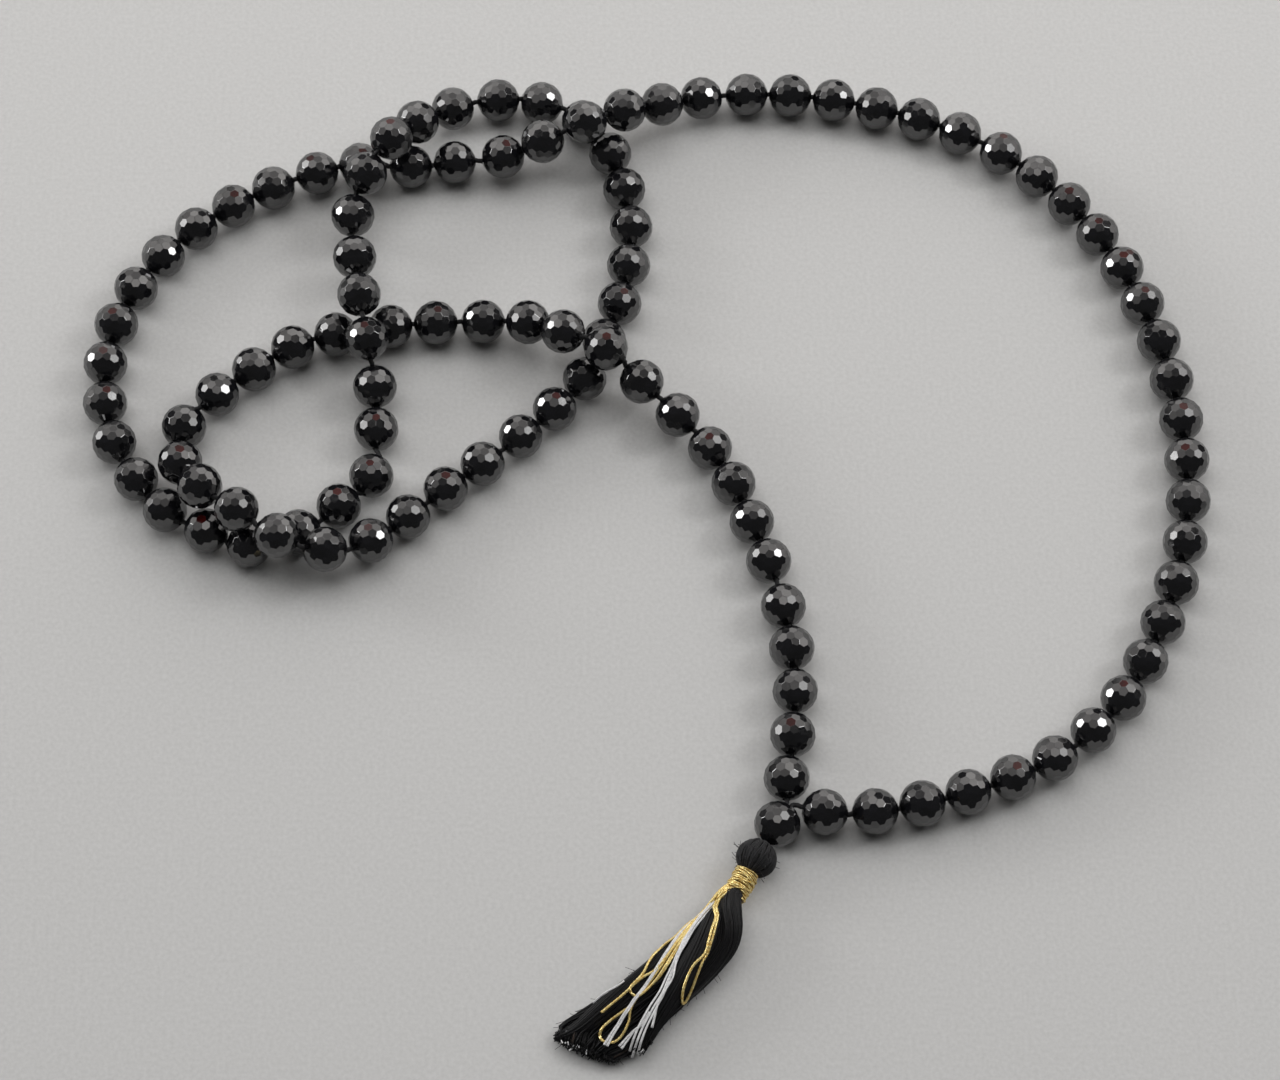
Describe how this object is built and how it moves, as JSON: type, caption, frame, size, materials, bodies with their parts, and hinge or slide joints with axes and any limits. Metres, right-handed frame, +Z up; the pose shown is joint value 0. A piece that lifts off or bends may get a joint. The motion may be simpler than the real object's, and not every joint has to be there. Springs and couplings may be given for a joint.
{
  "type": "misbaha_prayer_beads",
  "caption": "String of round faceted black stone prayer beads laid in overlapping curls, with a head bead and a black yarn tassel bound in gold thread",
  "frame": {"origin": "centre of the bounding box on the surface it lies on", "axes": "+Z up off the surface, tassel and head bead towards -Y, widest across X"},
  "size_m": [0.1999, 0.1894, 0.0151],
  "materials": {
    "bead_stone": "polished faceted black stone, glossy, with a few dark red facets",
    "black_string": "matte black twisted thread",
    "black_yarn": "matte black loosely twisted yarn, slightly brown at the edges",
    "gold_thread": "pale gold metallic thread with a soft shine",
    "white_cotton": "matte off-white thread"
  },
  "bodies": {
    "laid_string": {"head_bead": "bead_stone", "head_cord": "black_string", "bead_01": "bead_stone", "beads_30_to_34": "bead_stone", "beads_35_to_39": "bead_stone", "beads_49_to_52": "bead_stone", "beads_53_to_56": "bead_stone", "beads_57_to_60": "bead_stone", "beads_68_to_72": "bead_stone", "beads_73_to_77": "bead_stone", "beads_78_to_82": "bead_stone", "beads_83_to_87": "bead_stone", "beads_88_to_92": "bead_stone", "beads_93_to_97": "bead_stone", "beads_98_to_102": "bead_stone", "beads_103_to_108": "bead_stone"},
    "left_arc": {"beads_40_to_44": "bead_stone", "beads_45_to_48": "bead_stone"},
    "right_outer": {"string_right_lower": "black_string", "string_right_upper": "black_string"},
    "right_inner": {"string_right_bight": "black_string"},
    "top_arc": {"beads_61_to_64": "bead_stone", "beads_65_to_67": "bead_stone"},
    "tassel_head": {"tassel_knot": "black_string", "tassel_ball": "black_yarn", "gold_wrap": "gold_thread", "tassel_core": "black_yarn"},
    "tassel_skirt": {"tassel_skirt": "black_yarn", "gold_loop_narrow": "gold_thread", "gold_loop_wide": "gold_thread", "gold_thread_end": "gold_thread", "white_thread": "white_cotton"},
    "bead_02": {"bead_02": "bead_stone"},
    "bead_03": {"bead_03": "bead_stone"},
    "bead_04": {"bead_04": "bead_stone"},
    "bead_05": {"bead_05": "bead_stone"},
    "bead_06": {"bead_06": "bead_stone"},
    "bead_07": {"bead_07": "bead_stone"},
    "bead_08": {"bead_08": "bead_stone"},
    "bead_09": {"bead_09": "bead_stone"},
    "bead_10": {"bead_10": "bead_stone"},
    "bead_11": {"bead_11": "bead_stone"},
    "bead_12": {"bead_12": "bead_stone"},
    "bead_13": {"bead_13": "bead_stone"},
    "bead_14": {"bead_14": "bead_stone"},
    "bead_15": {"bead_15": "bead_stone"},
    "bead_16": {"bead_16": "bead_stone"},
    "bead_17": {"bead_17": "bead_stone"},
    "bead_18": {"bead_18": "bead_stone"},
    "bead_19": {"bead_19": "bead_stone"},
    "bead_20": {"bead_20": "bead_stone"},
    "bead_21": {"bead_21": "bead_stone"},
    "bead_22": {"bead_22": "bead_stone"},
    "bead_23": {"bead_23": "bead_stone"},
    "bead_24": {"bead_24": "bead_stone"},
    "bead_25": {"bead_25": "bead_stone"},
    "bead_26": {"bead_26": "bead_stone"},
    "bead_27": {"bead_27": "bead_stone"},
    "bead_28": {"bead_28": "bead_stone"},
    "bead_29": {"bead_29": "bead_stone"}
  },
  "joints": [
    {"name": "arc_lift_left", "type": "hinge", "parent": "laid_string", "child": "left_arc", "pos_m": [-0.07765, 0.0438, 0.004], "axis": [0.4321, 0.9018, 0], "range_deg": [0, 35]},
    {"name": "arc_lift_right_outer", "type": "hinge", "parent": "laid_string", "child": "right_outer", "pos_m": [0.02557, 0.01929, 0.00403], "axis": [0.1376, -0.9905, -0.0004], "range_deg": [0, 35]},
    {"name": "arc_lift_right_inner", "type": "hinge", "parent": "right_outer", "child": "right_inner", "pos_m": [0.06881, 0.0205, 0.004], "axis": [0.0921, -0.9958, 0], "range_deg": [0, 35]},
    {"name": "arc_lift_top", "type": "hinge", "parent": "laid_string", "child": "top_arc", "pos_m": [-0.03321, 0.07355, 0.00562], "axis": [0.7883, 0.6116, -0.0668], "range_deg": [0, 35]},
    {"name": "skirt_lift", "type": "hinge", "parent": "tassel_head", "child": "tassel_skirt", "pos_m": [0.01545, -0.06775, 0.0035], "axis": [-0.8631, 0.5051, 0], "range_deg": [0, 35]},
    {"name": "tassel_swing", "type": "hinge", "parent": "laid_string", "child": "tassel_head", "pos_m": [0.0211, -0.05808, 0.004], "axis": [0, 0, 1], "range_deg": [-25, 25]},
    {"name": "turn_bead_02", "type": "hinge", "parent": "right_outer", "child": "bead_02", "pos_m": [0.03986, -0.05219, 0.004], "axis": [0.9955, 0.0943, 0], "continuous": true},
    {"name": "turn_bead_03", "type": "hinge", "parent": "right_outer", "child": "bead_03", "pos_m": [0.04788, -0.05076, 0.004], "axis": [0.976, 0.2178, 0], "continuous": true},
    {"name": "turn_bead_04", "type": "hinge", "parent": "right_outer", "child": "bead_04", "pos_m": [0.05576, -0.04865, 0.004], "axis": [0.9563, 0.2925, 0], "continuous": true},
    {"name": "turn_bead_05", "type": "hinge", "parent": "right_outer", "child": "bead_05", "pos_m": [0.06346, -0.04599, 0.004], "axis": [0.9241, 0.382, 0], "continuous": true},
    {"name": "turn_bead_06", "type": "hinge", "parent": "right_outer", "child": "bead_06", "pos_m": [0.07079, -0.04243, 0.004], "axis": [0.8506, 0.5258, 0], "continuous": true},
    {"name": "turn_bead_07", "type": "hinge", "parent": "right_inner", "child": "bead_07", "pos_m": [0.0776, -0.03725, 0.004], "axis": [0.7395, 0.6732, 0], "continuous": true},
    {"name": "turn_bead_08", "type": "hinge", "parent": "right_inner", "child": "bead_08", "pos_m": [0.08309, -0.03123, 0.004], "axis": [0.6006, 0.7995, 0], "continuous": true},
    {"name": "turn_bead_09", "type": "hinge", "parent": "right_inner", "child": "bead_09", "pos_m": [0.08734, -0.02428, 0.004], "axis": [0.4715, 0.8819, 0], "continuous": true},
    {"name": "turn_bead_10", "type": "hinge", "parent": "right_inner", "child": "bead_10", "pos_m": [0.09076, -0.01688, 0.004], "axis": [0.3843, 0.9232, 0], "continuous": true},
    {"name": "turn_bead_11", "type": "hinge", "parent": "right_inner", "child": "bead_11", "pos_m": [0.0936, -0.00924, 0.004], "axis": [0.2989, 0.9543, 0], "continuous": true},
    {"name": "turn_bead_12", "type": "hinge", "parent": "right_inner", "child": "bead_12", "pos_m": [0.09563, -0.00135, 0.004], "axis": [0.1907, 0.9816, 0], "continuous": true},
    {"name": "turn_bead_13", "type": "hinge", "parent": "right_inner", "child": "bead_13", "pos_m": [0.09671, 0.00673, 0.004], "axis": [0.0841, 0.9965, 0], "continuous": true},
    {"name": "turn_bead_14", "type": "hinge", "parent": "right_inner", "child": "bead_14", "pos_m": [0.097, 0.01487, 0.004], "axis": [-0.0122, 0.9999, 0], "continuous": true},
    {"name": "turn_bead_15", "type": "hinge", "parent": "right_inner", "child": "bead_15", "pos_m": [0.09651, 0.02301, 0.004], "axis": [-0.1039, 0.9946, 0], "continuous": true},
    {"name": "turn_bead_16", "type": "hinge", "parent": "right_inner", "child": "bead_16", "pos_m": [0.09531, 0.03107, 0.004], "axis": [-0.1828, 0.9832, 0], "continuous": true},
    {"name": "turn_bead_17", "type": "hinge", "parent": "right_inner", "child": "bead_17", "pos_m": [0.09353, 0.03902, 0.004], "axis": [-0.2632, 0.9647, 0], "continuous": true},
    {"name": "turn_bead_18", "type": "hinge", "parent": "right_inner", "child": "bead_18", "pos_m": [0.09102, 0.04678, 0.004], "axis": [-0.3554, 0.9347, 0], "continuous": true},
    {"name": "turn_bead_19", "type": "hinge", "parent": "right_inner", "child": "bead_19", "pos_m": [0.08775, 0.05424, 0.004], "axis": [-0.4521, 0.892, 0], "continuous": true},
    {"name": "turn_bead_20", "type": "hinge", "parent": "right_inner", "child": "bead_20", "pos_m": [0.08366, 0.0613, 0.004], "axis": [-0.5483, 0.8363, 0], "continuous": true},
    {"name": "turn_bead_21", "type": "hinge", "parent": "right_inner", "child": "bead_21", "pos_m": [0.07882, 0.06785, 0.004], "axis": [-0.6438, 0.7652, 0], "continuous": true},
    {"name": "turn_bead_22", "type": "hinge", "parent": "right_inner", "child": "bead_22", "pos_m": [0.07319, 0.07374, 0.004], "axis": [-0.742, 0.6703, 0], "continuous": true},
    {"name": "turn_bead_23", "type": "hinge", "parent": "right_inner", "child": "bead_23", "pos_m": [0.06676, 0.07875, 0.004], "axis": [-0.8286, 0.5598, 0], "continuous": true},
    {"name": "turn_bead_24", "type": "hinge", "parent": "right_outer", "child": "bead_24", "pos_m": [0.05938, 0.08307, 0.004], "axis": [-0.8949, 0.4463, 0], "continuous": true},
    {"name": "turn_bead_25", "type": "hinge", "parent": "right_outer", "child": "bead_25", "pos_m": [0.05185, 0.08618, 0.004], "axis": [-0.9415, 0.337, 0], "continuous": true},
    {"name": "turn_bead_26", "type": "hinge", "parent": "right_outer", "child": "bead_26", "pos_m": [0.04405, 0.08856, 0.004], "axis": [-0.9667, 0.2559, 0], "continuous": true},
    {"name": "turn_bead_27", "type": "hinge", "parent": "right_outer", "child": "bead_27", "pos_m": [0.0361, 0.09035, 0.004], "axis": [-0.9849, 0.173, 0.0001], "continuous": true},
    {"name": "turn_bead_28", "type": "hinge", "parent": "right_outer", "child": "bead_28", "pos_m": [0.02802, 0.09138, 0.004], "axis": [-0.9973, 0.0736, 0], "continuous": true},
    {"name": "turn_bead_29", "type": "hinge", "parent": "right_outer", "child": "bead_29", "pos_m": [0.01987, 0.09155, 0.004], "axis": [-0.9976, -0.0582, 0.0383], "continuous": true}
  ]
}
